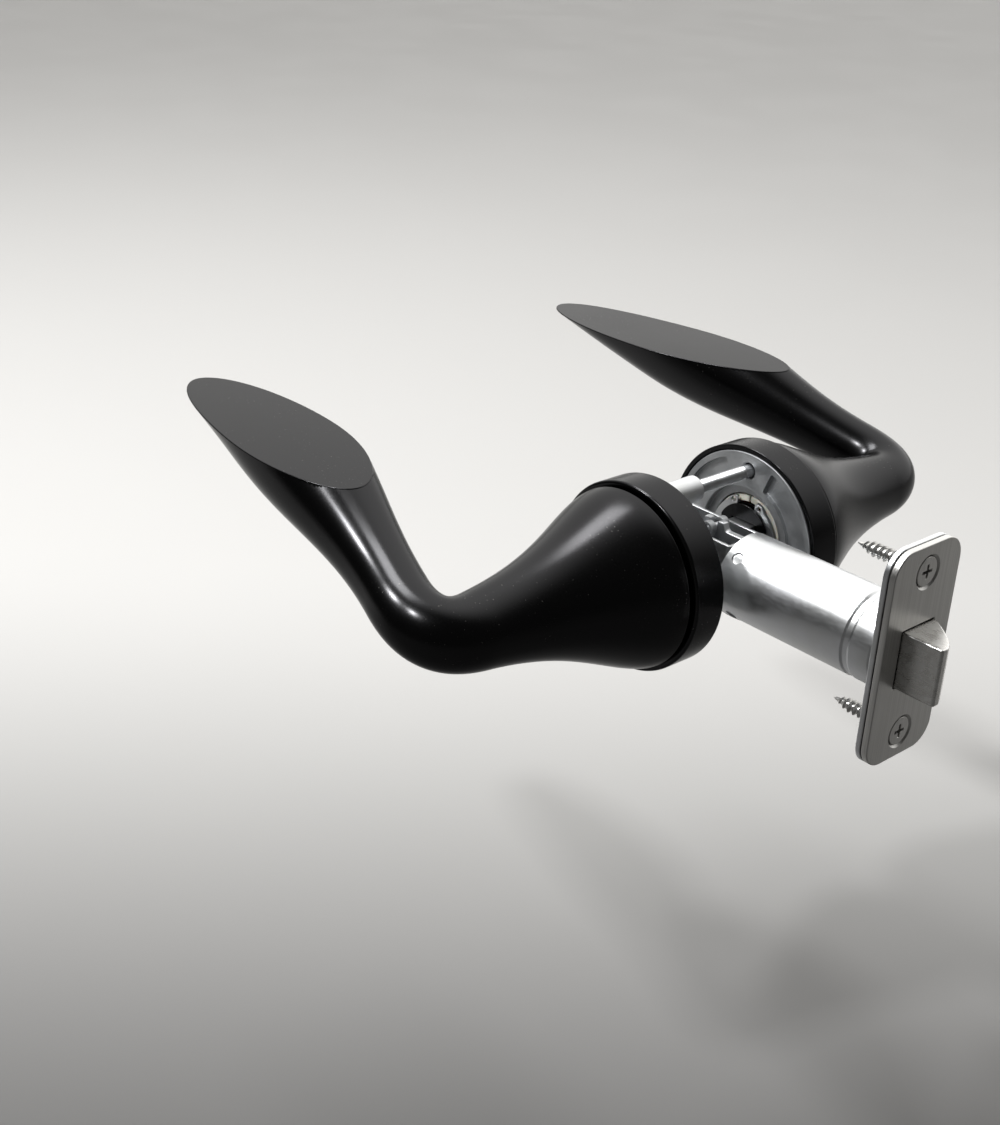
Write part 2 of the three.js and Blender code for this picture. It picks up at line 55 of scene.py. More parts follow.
class Wire:
    """The end of a shader wire. Sums on it become Math nodes, and make() adds any other node."""

    def __init__(self, tree, socket=None):
        self.tree, self.socket = tree, socket

    def make(self, kind, settings=None, inputs=None, out=0):
        node = self.tree.nodes.new(kind)
        for name, value in (settings or {}).items():
            setattr(node, name, value)
        for name, value in (inputs or {}).items():
            if isinstance(value, Wire):
                self.tree.links.new(value.socket, node.inputs[name])
            else:
                node.inputs[name].default_value = value
        return Wire(self.tree, node.outputs[out] if node.outputs else None)

    def reckon(self, operation, first, second=0.0, clamp=False):
        settings = {"operation": operation, "use_clamp": clamp}
        return self.make("ShaderNodeMath", settings, {0: first, 1: second})

    def __add__(self, other):
        return self.reckon("ADD", self, other)

    def __mul__(self, other):
        return self.reckon("MULTIPLY", self, other)

    def __sub__(self, other):
        return self.reckon("SUBTRACT", self, other)

    def __rsub__(self, other):
        return self.reckon("SUBTRACT", other, self)

    __radd__ = __add__
    __rmul__ = __mul__

    def dot(self, other):
        return self.make("ShaderNodeVectorMath", {"operation": "DOT_PRODUCT"}, {0: self, 1: other}, out=1)

    def speckle(self, scale, detail=3.0, stretch=(1, 1, 1)):
        """Fractal noise over the piece, from 0 to 1. scale is in grains per metre."""
        place = self.make("ShaderNodeTexCoord", out=3)
        if stretch != (1, 1, 1):
            place = self.make("ShaderNodeMapping", {}, {"Vector": place, "Scale": stretch})
        grain = {"Vector": place, "Scale": scale, "Detail": detail}
        return self.make("ShaderNodeTexNoise", {}, grain)

    def between(self, low, high, tint_low=0.0, tint_high=1.0):
        """This value eased from tint_low to tint_high as it goes from low to high."""
        settings = {"interpolation_type": "SMOOTHSTEP"}
        spans = {"Value": self, "From Min": low, "From Max": high}
        spans.update({"To Min": tint_low, "To Max": tint_high})
        return self.make("ShaderNodeMapRange", settings, spans)

    def spread(self, tint_low=0.0, tint_high=1.0):
        """The same for a noise, over the part of its range that it mostly fills."""
        return self.between(0.3, 0.7, tint_low, tint_high)

    def blend(self, colour_low, colour_high):
        """A colour, from colour_low where this is 0 to colour_high where it is 1."""
        settings = {"data_type": "RGBA"}
        sockets = {"Factor": self, 6: (*colour_low, 1), 7: (*colour_high, 1)}
        return self.make("ShaderNodeMix", settings, sockets, out=2)


def new_finish(name):
    finish = bpy.data.materials.new(name)
    finish.use_nodes = True
    finish.node_tree.nodes.clear()
    return finish, Wire(finish.node_tree)


def close_finish(wire, sockets, height=None, depth=0.0, reach=0.0001):
    """Ends a finish in one shader. height, if there is any, raises a grain of that depth."""
    if height is not None:
        bump = {"Strength": depth, "Distance": reach, "Height": height}
        sockets = dict(sockets, Normal=wire.make("ShaderNodeBump", {}, bump))
    surface = wire.make("ShaderNodeBsdfPrincipled", {}, sockets)
    wire.make("ShaderNodeOutputMaterial", {}, {"Surface": surface})


FAR_SIDE = (-0.75, 0.66, 0)


def floor_with_painted_shade():
    """Matt grey paint with painted shade: dark underfoot and towards the camera, pale beyond the set."""
    finish, wire = new_finish("floor_with_painted_shade")
    mottle = wire.speckle(9.0)
    away = wire.make("ShaderNodeTexCoord", out=3).dot(FAR_SIDE)
    # Painted shade: the floor is darker towards the camera so the coat's undersides mirror a dark room. The
    # small mottle is the paint's own.
    shade_and_mottle = away.between(-0.15, 0.35, 0.04, 0.50) + mottle * 0.03
    sockets = {"Base Color": shade_and_mottle.blend((0, 0, 0), (1.0, 0.99, 0.97))}
    sockets["Roughness"] = mottle.spread(0.75, 0.85)
    close_finish(wire, sockets)
    return finish


FLOOR_HEIGHT = -170 * MM
FLOOR_HALF = 6.0

floor_mesh = bpy.data.meshes.new("floor")
corners = [(FLOOR_HALF * x, FLOOR_HALF * y, FLOOR_HEIGHT) for x, y in ((-1, -1), (1, -1), (1, 1), (-1, 1))]
floor_mesh.from_pydata(corners, [], [(0, 1, 2, 3)])
floor = bpy.data.objects.new("floor", floor_mesh)
floor_mesh.materials.append(floor_with_painted_shade())
scene.collection.objects.link(floor)

VIEW_TURN = math.radians(48.96)
VIEW_DROP = math.radians(25.66)
VIEW_ROLL = math.radians(2.31)
VIEW_AIM = Vector((0, -52.3 * MM, 16.2 * MM))
VIEW_DISTANCE = 354 * MM
LENS = 48.0

view_line = Vector((
    -math.sin(VIEW_TURN) * math.cos(VIEW_DROP),
    math.cos(VIEW_TURN) * math.cos(VIEW_DROP),
    -math.sin(VIEW_DROP),
))
level = Vector((math.cos(VIEW_TURN), math.sin(VIEW_TURN), 0))
tilt = Matrix.Rotation(-VIEW_ROLL, 3, view_line)
right = tilt @ level
upward = tilt @ level.cross(view_line)
camera = bpy.data.objects.new("camera", bpy.data.cameras.new("camera"))
camera.data.lens = LENS
camera.data.clip_start = 0.01
turn = Matrix((right, upward, -view_line)).transposed().to_4x4()
camera.matrix_world = Matrix.Translation(VIEW_AIM - VIEW_DISTANCE * view_line) @ turn
scene.collection.objects.link(camera)
scene.camera = camera


LAMP_DISTANCE = 1.5
LAMP_TARGET = Vector((-30 * MM, -40 * MM, 0))


def lamp(name, towards, size, power):
    """A square soft lamp in that direction from the lever, shining back at it."""
    light = bpy.data.lights.new(name, "AREA")
    light.size, light.energy = size, power
    holder = bpy.data.objects.new(name, light)
    line = Vector(towards).normalized()
    holder.location = LAMP_TARGET + LAMP_DISTANCE * line
    holder.rotation_euler = line.to_track_quat("Z", "Y").to_euler()
    scene.collection.objects.link(holder)


lamp("left_lamp", (-0.89, -1.0, 1.48), 0.12, 12)
lamp("middle_lamp", (-0.12, -1.0, 1.45), 0.12, 10)
lamp("upper_lamp", (-0.45, 0.0, 0.9), 0.5, 12)

GLOW_SIDE = (-0.45, 0.77, 0.45)
world = bpy.data.worlds.new("surround")
world.use_nodes = True
world.node_tree.nodes.clear()
sky = Wire(world.node_tree)
glow = sky.make("ShaderNodeTexCoord", out=0).dot(GLOW_SIDE).between(0.25, 0.97, 0.06, 2.0)
backing = sky.make("ShaderNodeBackground", {}, {"Color": (1.0, 0.99, 0.97, 1), "Strength": glow})
sky.make("ShaderNodeOutputWorld", {}, {"Surface": backing})
scene.world = world
scene.view_settings.view_transform = "Standard"

# ---- Levers ----
# Each lever is one zinc casting: a trumpet neck, a tight elbow and a round grip that widens and is cut
# off level on top. It is powder coated satin black, and its square socket slides on the spindle, where a
# grub screw from below holds it.

ROSE_DEPTH = -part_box("outside_rose")[0].y
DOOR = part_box("inside_rose")[0].y
LEVER_GAP = 1.0 * MM
ELBOW_REACH = 73.5 * MM
BEND_START = 58.5 * MM
BEND_LENGTH = 18.0 * MM
GRIP_RETURN = math.radians(13)
GRIP_RISE = math.radians(16.2)
GRIP_SWEEP = 0.78
GRIP_LENGTH = 150 * MM
FACET_HEIGHT = 23.9 * MM
RIM_RADIUS = 24.2 * MM
WAIST_RADIUS = 8.3 * MM
BELL_LENGTH = 26.7 * MM
BELL_POWER = 1.42
GRIP_SWELL = 7.2 * MM
SWELL_START = 66.5 * MM
SWELL_END = 150.5 * MM
RIM_EDGE = 0.45 * MM
FACET_EDGE = 0.25 * MM
SKIN_INSET = 0.03 * MM
SHANK_RADIUS = 8.9
SHANK_FLAT = 7.9
SOCKET_HALF = 4.3
SOCKET_DEPTH = 29.0
GRUB_OUT = 17.0
GRUB_HOLE = 2.8


def coat_finish():
    """Satin black powder coat: a fine orange-peel grain, faint cloudy gloss and a little dust.

    It is shaded as a very dark metal, though the coat isn't one, to hold down its sheen at the edges."""
    finish, wire = new_finish("black_coat")
    cloud = wire.speckle(35.0, 2.0)
    grain = wire.speckle(2600.0, 2.0)
    lint = wire.speckle(1500.0, 2.0).between(0.69, 0.76)
    patches = wire.speckle(55.0, 2.0).between(0.50, 0.62)
    dust = lint * patches
    gloss = cloud.spread(0.18, 0.23) + grain.spread(0.0, 0.04)
    sockets = {"Base Color": (dust * 0.25).blend((0.028, 0.028, 0.029), (0.30, 0.29, 0.27))}
    sockets["Roughness"] = gloss + dust * 0.2
    sockets.update({"Metallic": 1.0, "Specular Tint": (0.62, 0.62, 0.62, 1)})
    close_finish(wire, sockets, grain, 0.06, 0.00004)
    return finish


BLACK_COAT = coat_finish()


def lever_radius(along):
    """The radius that far along the centre line: a bell by the rose, a waist, then the grip's swell.

    The bell dies away like a bell curve, and the swell eases in and out without a break in its bend."""
    bell = np.exp(-(along / BELL_LENGTH) ** BELL_POWER)
    t = np.clip((along - SWELL_START) / (SWELL_END - SWELL_START), 0, 1)
    swell = t ** 3 * (t * (6 * t - 15) + 10)
    return WAIST_RADIUS + (RIM_RADIUS - WAIST_RADIUS) * bell + GRIP_SWELL * swell


def lever_line(count):
    """Points evenly spaced along the lever's centre line, and their distances along it."""
    grip = np.array([
        -math.cos(GRIP_RETURN) * math.cos(GRIP_RISE),
        math.sin(GRIP_RETURN) * math.cos(GRIP_RISE),
        math.sin(GRIP_RISE),
    ])
    side = np.cross((0, 0, 1), grip)
    side /= np.linalg.norm(side)
    base = np.array((0, -ROSE_DEPTH - LEVER_GAP, 0))
    bend_from, corner = np.array((0, -BEND_START, 0)), np.array((0, -ELBOW_REACH, 0))
    bend_to = corner + grip * BEND_LENGTH
    t = np.linspace(0, 1, 200)[:, None]
    neck = base + t * (bend_from - base)
    bend = (1 - t) ** 2 * bend_from + 2 * t * (1 - t) * corner + t ** 2 * bend_to
    along = t * GRIP_LENGTH
    arm = bend_to + along * grip + GRIP_SWEEP * along ** 2 * side
    points = np.concatenate([neck, bend[1:], arm[1:]])
    travelled = np.concatenate([[0], np.cumsum(np.linalg.norm(np.diff(points, axis=0), axis=1))])
    even = np.linspace(0, travelled[-1], count)
    return np.stack([np.interp(even, travelled, points[:, k]) for k in range(3)], 1), even


def lever_skin(rings=330, sides=112):
    """The open skin of the whole horn, from the turned-in rim to past the facet."""
    centres, along = lever_line(rings)
    tangents = np.gradient(centres, axis=0)
    tangents /= np.linalg.norm(tangents, axis=1)[:, None]
    up = np.array((0, 0, 1.0)) - tangents[:, 2:] * tangents
    up /= np.linalg.norm(up, axis=1)[:, None]
    across = np.cross(tangents, up)
    angles = np.linspace(0, 2 * np.pi, sides, endpoint=False)
    cosines, sines = np.cos(angles)[None, :, None], np.sin(angles)[None, :, None]
    ring = cosines * across[:, None] + sines * up[:, None]
    radii = lever_radius(along) - SKIN_INSET
    skin = centres[:, None] + radii[:, None, None] * ring
    rim = []
    for turn in np.linspace(0, math.pi / 2, 5):
        inset = RIM_EDGE * (1 - math.sin(turn))
        lift = RIM_EDGE * (1 - math.cos(turn))
        rim.append(centres[0] + np.array((0, -lift, 0)) + (radii[0] - inset) * ring[0])
    start = int(np.searchsorted(along, RIM_EDGE * 1.5))
    return np.concatenate([np.array(rim), skin[start:]])


def mesh_piece(name, points, faces, finish):
    mesh = bpy.data.meshes.new(name)
    mesh.from_pydata([tuple(point) for point in points], [], faces)
    mesh.materials.append(finish)
    piece = bpy.data.objects.new(name, mesh)
    scene.collection.objects.link(piece)
    return piece


def faced_out(mesh, weld=0.0):
    """Merges points that lie closer than weld, and turns the faces out."""
    work = bmesh.new()
    work.from_mesh(mesh)
    if weld:
        bmesh.ops.remove_doubles(work, verts=work.verts, dist=weld)
    bmesh.ops.recalc_face_normals(work, faces=work.faces)
    work.to_mesh(mesh)
    work.free()


def scrap(piece):
    """Clears away a pattern piece or a cutter once it has done its work."""
    mesh = piece.data
    bpy.data.objects.remove(piece)
    bpy.data.meshes.remove(mesh)


def ease_edges(piece, degrees=35):
    """Merges what meets, turns the faces out, and keeps only the folds sharper than that as edges."""
    work = bmesh.new()
    work.from_mesh(piece.data)
    bmesh.ops.remove_doubles(work, verts=work.verts, dist=1e-7)
    bmesh.ops.recalc_face_normals(work, faces=work.faces)
    if work.calc_volume(signed=True) < 0:
        bmesh.ops.reverse_faces(work, faces=work.faces)
    for face in work.faces:
        face.smooth = True
    for edge in work.edges:
        edge.smooth = edge.calc_face_angle(0.0) < math.radians(degrees)
    work.to_mesh(piece.data)
    work.free()
    flats = piece.modifiers.new("flats", "WEIGHTED_NORMAL")
    flats.keep_sharp = True
    return settle(piece)


def facet_trim(work):
    """Cuts the horn off level, rolls its rim over and closes the flat with one face."""
    sill = FACET_HEIGHT - FACET_EDGE
    grip_faces = [f for f in work.faces if all(v.co.x < -RIM_RADIUS for v in f.verts)]
    grip = {e for f in grip_faces for e in f.edges} | {v for f in grip_faces for v in f.verts}
    bmesh.ops.bisect_plane(
        work, geom=grip_faces + list(grip), dist=1e-7, plane_co=(0, 0, sill), plane_no=(0, 0, 1),
        clear_outer=True,
    )
    edges = [e for e in work.edges if e.is_boundary and all(abs(v.co.z - sill) < 1e-6 for v in e.verts)]
    edge_set = set(edges)
    start = edges[0].verts[0]
    loop, previous = [start], None
    while True:
        following = [e for e in loop[-1].link_edges if e in edge_set and e is not previous]
        if not following:
            break
        previous = following[0]
        step = previous.other_vert(loop[-1])
        if step is start:
            break
        loop.append(step)
    flat = np.array([(v.co.x, v.co.y) for v in loop])
    ahead = np.roll(flat, -2, 0) - np.roll(flat, 2, 0)
    area = np.sum(flat[:, 0] * np.roll(flat[:, 1], -1) - flat[:, 1] * np.roll(flat[:, 0], -1))
    inward = np.stack([-ahead[:, 1], ahead[:, 0]], 1) * np.sign(area)
    inward /= np.linalg.norm(inward, axis=1)[:, None]
    rows = [loop]
    steps = [(1 - math.cos(a), math.sin(a)) for a in np.radians((22.5, 45, 67.5, 90))] + [(1.3, 1)]
    for inset, lift in [(FACET_EDGE * across, FACET_EDGE * up) for across, up in steps]:
        places = flat + inset * inward
        rows.append([work.verts.new((x, y, sill + lift)) for x, y in places])
    for low, high in zip(rows, rows[1:]):
        for i in range(len(low)):
            j = (i + 1) % len(low)
            work.faces.new((low[i], low[j], high[j], high[i]))
    work.faces.new(rows[-1])


def rounded(corners, radius, closed=True, steps=4):
    """An outline in millimetres with each corner turned to an arc. A third value is that corner's own."""
    count, outline = len(corners), []
    for i, corner in enumerate(corners):
        here = Vector(corner[:2])
        bend = corner[2] if len(corner) > 2 else radius
        if bend == 0 or (not closed and i in (0, count - 1)):
            outline.append(here)
            continue
        back = Vector(corners[i - 1][:2]) - here
        ahead = Vector(corners[(i + 1) % count][:2]) - here
        half = back.angle(ahead) / 2
        if half > math.radians(88):
            outline.append(here)
            continue
        reach = min(bend / math.tan(half), 0.48 * back.length, 0.48 * ahead.length)
        bend = reach * math.tan(half)
        start, end = here + reach * back.normalized(), here + reach * ahead.normalized()
        centre = here + (back.normalized() + ahead.normalized()).normalized() * bend / math.sin(half)
        for step in range(steps + 1):
            spoke = (start - centre).slerp(end - centre, step / steps)
            outline.append(centre + bend * spoke)
    return outline


def turned(name, profile, finish, radius=0.2, sides=96, closed=False):
    """A turned shape round the spindle axis, from (radius, distance out) corners in millimetres.

    An open profile starts and ends on the axis. A closed one makes a ring."""
    outline = rounded(profile, radius, closed)
    points, faces = [], []
    for across, out in outline:
        for angle in np.linspace(0, 2 * np.pi, sides, endpoint=False):
            points.append((across * MM * math.cos(angle), -out * MM, across * MM * math.sin(angle)))
    rows = len(outline)
    for row in range(rows if closed else rows - 1):
        low, high = row * sides, (row + 1) % rows * sides
        for i in range(sides):
            j = (i + 1) % sides
            faces.append((low + i, low + j, high + j, high + i))
    piece = mesh_piece(name, points, faces, finish)
    faced_out(piece.data, 1e-8)
    return piece


def cut_away(piece, *cutters):
    """Takes each cutter out of the piece, and the cutters away with it."""
    for cutter in cutters:
        notch = piece.modifiers.new("cut", "BOOLEAN")
        notch.operation, notch.object, notch.solver = "DIFFERENCE", cutter, "EXACT"
    return settle(piece, cutters)


def joined(piece, *others):
    """Welds the others onto the piece where they overlap."""
    for other in others:
        weld = piece.modifiers.new("weld", "BOOLEAN")
        weld.operation, weld.object, weld.solver = "UNION", other, "EXACT"
    return settle(piece, others)


def settle(piece, helpers=()):
    """Makes the piece's modifiers part of its mesh, and drops the helper pieces that they used."""
    settled = bpy.data.meshes.new_from_object(piece.evaluated_get(bpy.context.evaluated_depsgraph_get()))
    piece.modifiers.clear()
    spent, piece.data = piece.data, settled
    bpy.data.meshes.remove(spent)
    for helper in helpers:
        scrap(helper)
    return piece


def bar(low, high):
    """A plain block between two corners, used to cut with."""
    points = [(x, y, z) for z in (low[2], high[2]) for y in (low[1], high[1]) for x in (low[0], high[0])]
    faces = [(0, 2, 3, 1), (4, 5, 7, 6), (0, 1, 5, 4), (2, 6, 7, 3), (0, 4, 6, 2), (1, 3, 7, 5)]
    return mesh_piece("bar", points, faces, BLACK_COAT)


def drill(radius, start, end, sides=48):
    """A plain round rod from one point to another, used to cut with."""
    start, end = Vector(start), Vector(end)
    line = (end - start).normalized()
    turn = line.to_track_quat("Z", "Y").to_matrix()
    angles = np.linspace(0, 2 * np.pi, sides, endpoint=False)
    spots = [turn @ Vector((math.cos(a), math.sin(a), 0)) for a in angles]
    points = [start + radius * spot for spot in spots] + [end + radius * spot for spot in spots]
    faces = [(i, (i + 1) % sides, sides + (i + 1) % sides, sides + i) for i in range(sides)]
    faces += [tuple(range(sides - 1, -1, -1)), tuple(range(sides, 2 * sides))]
    return mesh_piece("drill", points, faces, BLACK_COAT)


def lever_shank():
    """The turned shank behind the rim, with a groove for its circlip and two flats for its driver."""
    top = (ROSE_DEPTH + LEVER_GAP) / MM
    groove = SHANK_RADIUS - 1
    shank = turned("shank", [
        (0, 0.3), (SHANK_RADIUS, 0.3, 0.2), (SHANK_RADIUS, 0.6, 0.05), (groove, 0.6, 0.1), (groove, 1.9, 0.1),
        (SHANK_RADIUS, 1.9, 0.05), (SHANK_RADIUS, top + 0.4), (0, top + 0.4),
    ], BLACK_COAT)
    near, far, end = SHANK_FLAT * MM, 10 * MM, (top - 2.4) * MM
    right = bar((near, -end, -far), (far, MM, far))
    left = bar((-far, -end, -far), (-near, MM, far))
    return cut_away(shank, right, left)


def build_lever(name):
    skin = lever_skin()
    rings, sides = skin.shape[:2]
    faces = []
    for row in range(rings - 1):
        for i in range(sides):
            j = (i + 1) % sides
            faces.append((row * sides + i, row * sides + j, (row + 1) * sides + j, (row + 1) * sides + i))
    faces.append(tuple(range(sides - 1, -1, -1)))
    lever = mesh_piece(name, skin.reshape(-1, 3), faces, BLACK_COAT)
    work = bmesh.new()
    work.from_mesh(lever.data)
    facet_trim(work)
    bmesh.ops.recalc_face_normals(work, faces=work.faces)
    work.to_mesh(lever.data)
    work.free()
    joined(lever, lever_shank())
    half = SOCKET_HALF * MM
    socket = bar((-half, -SOCKET_DEPTH * MM, -half), (half, 1 * MM, half))
    screw_hole = drill(GRUB_HOLE * MM, (0, -GRUB_OUT * MM, 0), (0, -GRUB_OUT * MM, -40 * MM))
    return cut_away(lever, socket, screw_hole)


def far_side(piece, name):
    """The same piece for the inside face of the door: a mirror image across the door's middle."""
    copy = bpy.data.objects.new(name, piece.data.copy())
    copy.data.transform(Matrix(((1, 0, 0, 0), (0, -1, 0, DOOR), (0, 0, 1, 0), (0, 0, 0, 1))))
    copy.data.flip_normals()
    scene.collection.objects.link(copy)
    return copy


def fit(piece, node, body):
    """Finishes the piece and puts it in the place of its CAD node."""
    ease_edges(piece)
    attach(piece, body)
    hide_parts(node)


def fit_pair(piece, what, body):
    """Fits the outside piece and its mirror image on the inside."""
    piece.name = f"{what}_outside"
    twin = far_side(piece, f"{what}_inside")
    fit(piece, f"outside_{what}", body)
    fit(twin, f"inside_{what}", body)


fit_pair(build_lever("lever"), "lever", "levers_and_spindle")

# ---- Roses ----
# A rose is a cup drawn from one steel disc and coated like the levers. It snaps over the base plate,
# and the lever's neck turns in the hole in its face.

ROSE_WALL = 1.3
rose_face = ROSE_DEPTH / MM
rose_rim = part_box("outside_rose")[1].x / MM
rose_hole = 9.6
rose = turned("rose_cup", [
    (rose_rim - ROSE_WALL, 0, 0.15), (rose_rim, 0, 0.3), (rose_rim, rose_face, 0.8),
    (rose_hole, rose_face, 0.35), (rose_hole, rose_face - ROSE_WALL, 0.15),
    (rose_rim - ROSE_WALL, rose_face - ROSE_WALL, 0.9),
], BLACK_COAT, sides=160, closed=True)
fit_pair(rose, "rose", "door_fixings")

# ---- Base plates ----
# A base plate is a bare zinc casting that the rose covers. It carries the lever's bush in its boss, has
# two pegs that stop the spring and the driver, and pockets on its back so that it cools evenly.


def zinc_finish():
    """Bare zinc casting: dull grey, with flow marks and a fine pitted grain."""
    finish, wire = new_finish("bare_zinc")
    flow = wire.speckle(140.0, 5.0, (1.0, 0.35, 1.0))
    pits = wire.speckle(1500.0, 3.0)
    sockets = {"Base Color": flow.spread().blend((0.33, 0.34, 0.35), (0.46, 0.47, 0.48))}
    sockets["Roughness"] = flow.spread(0.40, 0.55) + pits.spread(0.0, 0.08)
    sockets["Metallic"] = 0.9
    close_finish(wire, sockets, pits, 0.35, 0.00008)
    return finish


BARE_ZINC = zinc_finish()
FACE_OUT = Matrix.Rotation(math.radians(90), 4, "X")
BOSS_RADIUS = 13.2
BOSS_TOP = 5.4
BEARING_RADIUS = 11.6
PLATE_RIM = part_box("outside_base_plate")[1].x / MM
PLATE_THICKNESS = 3.0
PEG_RADIUS = 18.2
FINGER_ANGLE = 150
FINGER_SWING = 60
PEG_CLEARANCE = 9.8
PEG_ANGLES = (FINGER_ANGLE - PEG_CLEARANCE, FINGER_ANGLE + FINGER_SWING + PEG_CLEARANCE)
FIXING_Z = 19.0


def arc(radius, start, end, steps, centre=(0, 0)):
    """Points along an arc, in millimetres and degrees."""
    turns = np.radians(np.linspace(start, end, steps))
    return [(centre[0] + radius * math.cos(a), centre[1] + radius * math.sin(a)) for a in turns]


def ring(radius, centre=(0, 0), steps=64):
    return arc(radius, 0, 360 - 360 / steps, steps, centre)


def stamped(name, outlines, low, high, finish, edge=0.15):
    """A plate in the XY plane from low to high: an outline and its holes in millimetres, edges eased."""
    curve = bpy.data.curves.new(name, "CURVE")
    curve.dimensions, curve.fill_mode = "2D", "BOTH"
    curve.extrude = (high - low) / 2 - edge
    curve.bevel_depth, curve.bevel_resolution, curve.offset = edge, 2, -edge
    for outline in outlines:
        spline = curve.splines.new("POLY")
        spline.points.add(len(outline) - 1)
        for point, place in zip(spline.points, outline):
            point.co = (place[0], place[1], 0, 1)
        spline.use_cyclic_u = True
    cutter = bpy.data.objects.new(name, curve)
    scene.collection.objects.link(cutter)
    bpy.context.view_layer.update()
    mesh = bpy.data.meshes.new_from_object(cutter.evaluated_get(bpy.context.evaluated_depsgraph_get()))
    bpy.data.objects.remove(cutter)
    bpy.data.curves.remove(curve)
    faced_out(mesh, 1e-4)
    mesh.transform(Matrix.Scale(MM, 4) @ Matrix.Translation((0, 0, (low + high) / 2)))
    mesh.materials.clear()
    mesh.materials.append(finish)
    plate = bpy.data.objects.new(name, mesh)
    scene.collection.objects.link(plate)
    return plate


def place(piece, turn=None, shift=(0, 0, 0)):
    """Turns a piece's mesh, then moves it, in millimetres."""
    piece.data.transform(Matrix.Translation(MM * Vector(shift)) @ (turn or Matrix.Identity(4)))
    return piece


def round_spindle(degrees):
    """A turn about the spindle axis that carries +X towards +Z."""
    return Matrix.Rotation(-math.radians(degrees), 4, "Y")


def gathered(piece, *others):
    """Makes one piece of several that only touch, as a thread does its screw."""
    work = bmesh.new()
    work.from_mesh(piece.data)
    for other in others:
        work.from_mesh(other.data)
        scrap(other)
    work.to_mesh(piece.data)
    work.free()
    return piece


def base_plate(name, hole, sink):
    """A base plate whose two fixing holes widen from hole to sink on the face that takes the head."""
    plate = turned(name, [
        (BEARING_RADIUS, 2, 0.2), (14, 2, 0.3), (14, 0, 0.3), (PLATE_RIM, 0, 0.35),
        (PLATE_RIM, PLATE_THICKNESS, 0.4), (BOSS_RADIUS, PLATE_THICKNESS, 0.5),
        (BOSS_RADIUS, BOSS_TOP, 0.3), (BEARING_RADIUS, BOSS_TOP, 0.3),
    ], BARE_ZINC, sides=128, closed=True)
    pegs = []
    for angle in PEG_ANGLES:
        peg = turned("peg", [(0, 1.5), (1.2, 1.5), (1.2, 5, 0.35), (0, 5)], BARE_ZINC, sides=24)
        pegs.append(place(peg, round_spindle(angle) @ Matrix.Translation((PEG_RADIUS * MM, 0, 0))))
    joined(plate, *pegs)
    cutters = []
    for start, end in ((5, 69), (111, 175), (185, 249), (291, 355)):
        sector = arc(22.2, start, end, 12) + arc(15.8, end, start, 9)
        pocket = stamped("pocket", [rounded(sector, 0.6)], -1, 1.3, BARE_ZINC, 0.2)
        cutters.append(place(pocket, FACE_OUT))
    for z in (-FIXING_Z, FIXING_Z):
        bore = turned("bore", [
            (0, -1), (hole + 1.3, -1), (hole, 0.35, 0.1), (hole, 2.95 - (sink - hole), 0.1),
            (sink + 0.15, 3.1), (0, 3.1),
        ], BARE_ZINC, 0, 48)
        cutters.append(place(bore, shift=(0, 0, z)))
    return cut_away(plate, *cutters)


fit(base_plate("base_plate_outside", 2.8, 3.1), "outside_base_plate", "door_fixings")
inner_plate = base_plate("base_plate", 2.2, 4.1)
fit(far_side(inner_plate, "base_plate_inside"), "inside_base_plate", "door_fixings")
scrap(inner_plate)

# ---- Bushes ----
# Each lever turns in a flanged nylon bush, moulded with one slit so that it springs into the boss.


def nylon_finish():
    """Natural nylon: waxy off-white, a little darker where it flowed in last."""
    finish, wire = new_finish("natural_nylon")
    flow = wire.speckle(220.0, 3.0)
    grain = wire.speckle(3000.0, 2.0)
    sockets = {"Base Color": flow.spread().blend((0.74, 0.71, 0.62), (0.83, 0.81, 0.74))}
    sockets["Roughness"] = flow.spread(0.42, 0.52)
    sockets.update({"Subsurface Weight": 0.15, "Subsurface Scale": 0.001})
    close_finish(wire, sockets, grain, 0.1, 0.00005)
    return finish


NATURAL_NYLON = nylon_finish()
bush = turned("bush", [
    (9.2, 2.3, 0.25), (11.3, 2.3, 0.5), (11.3, 5.7, 0.1), (BOSS_RADIUS, 5.7, 0.15),
    (BOSS_RADIUS, 6.4, 0.25), (9.2, 6.4, 0.3),
], NATURAL_NYLON, closed=True)
cut_away(bush, bar((-0.35 * MM, -7 * MM, 8 * MM), (0.35 * MM, -2 * MM, 14 * MM)))
fit_pair(bush, "bush", "door_fixings")

# ---- Drivers and circlips ----
# A driver is stamped from sheet steel, zinc plated, and keyed on the shank's two flats. Its finger is
# bent down to push the spring. A circlip in the shank's groove holds each lever in its base plate.


def steel_finish():
    """Bright zinc plate: faintly blotched, with a fine rolled grain under the plating."""
    finish, wire = new_finish("plated_steel")
    blotch = wire.speckle(90.0, 4.0)
    rolled = wire.speckle(1200.0, 2.0, (0.3, 1.0, 1.0))
    tint = blotch.spread()
    sockets = {"Base Color": tint.blend((0.54, 0.55, 0.55), (0.59, 0.60, 0.62))}
    sockets["Roughness"] = blotch.spread(0.30, 0.35) + rolled.spread(0.0, 0.05)
    sockets["Metallic"] = 1.0
    close_finish(wire, sockets, rolled, 0.04, 0.00001)
    return finish


PLATED_STEEL = steel_finish()
DRIVER_RADIUS = 16.2
FINGER_TIP = 19.2
FINGER_HALF = 1.6
FLAT_HALF = 8.2
BORE_RADIUS = 9.2

